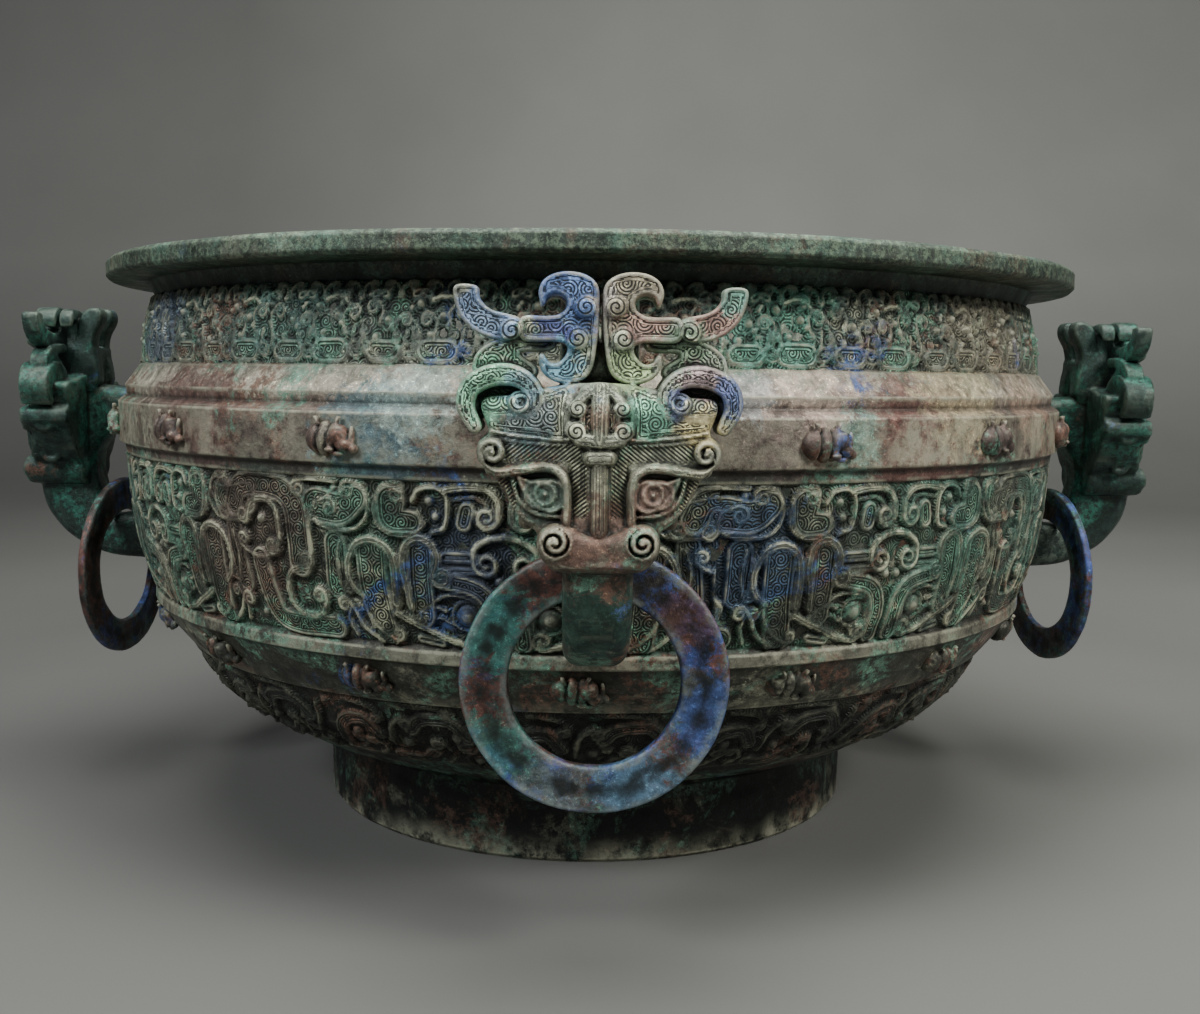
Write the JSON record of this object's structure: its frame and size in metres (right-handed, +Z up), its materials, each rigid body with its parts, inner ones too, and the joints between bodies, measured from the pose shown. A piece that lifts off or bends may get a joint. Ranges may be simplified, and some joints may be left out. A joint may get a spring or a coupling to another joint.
{
  "type": "bronze basin",
  "caption": "Wide archaic bronze basin with an out-turned lip, relief bands, a foot ring, and beast-mask handles that hold loose flat rings.",
  "frame": {"origin": "middle of the foot's underside, on the surface that the basin stands on", "axes": "+Z up; -Y towards the front handle; +X to the right"},
  "size_m": [0.547, 0.547, 0.2435],
  "materials": {
    "basin_bronze": "cast bronze with a mottled green, blue and brown patina",
    "handle_bronze": "cast bronze with a green and blue patina",
    "ring_bronze": "cast bronze with blotches of green, rust brown and blue patina"
  },
  "bodies": {
    "root": {"basin": "basin_bronze", "handle_front": "handle_bronze", "handle_right": "handle_bronze", "handle_back": "handle_bronze", "handle_left": "handle_bronze", "ring_front": "ring_bronze", "ring_right": "ring_bronze", "ring_back": "ring_bronze", "ring_left": "ring_bronze"}
  },
  "joints": []
}
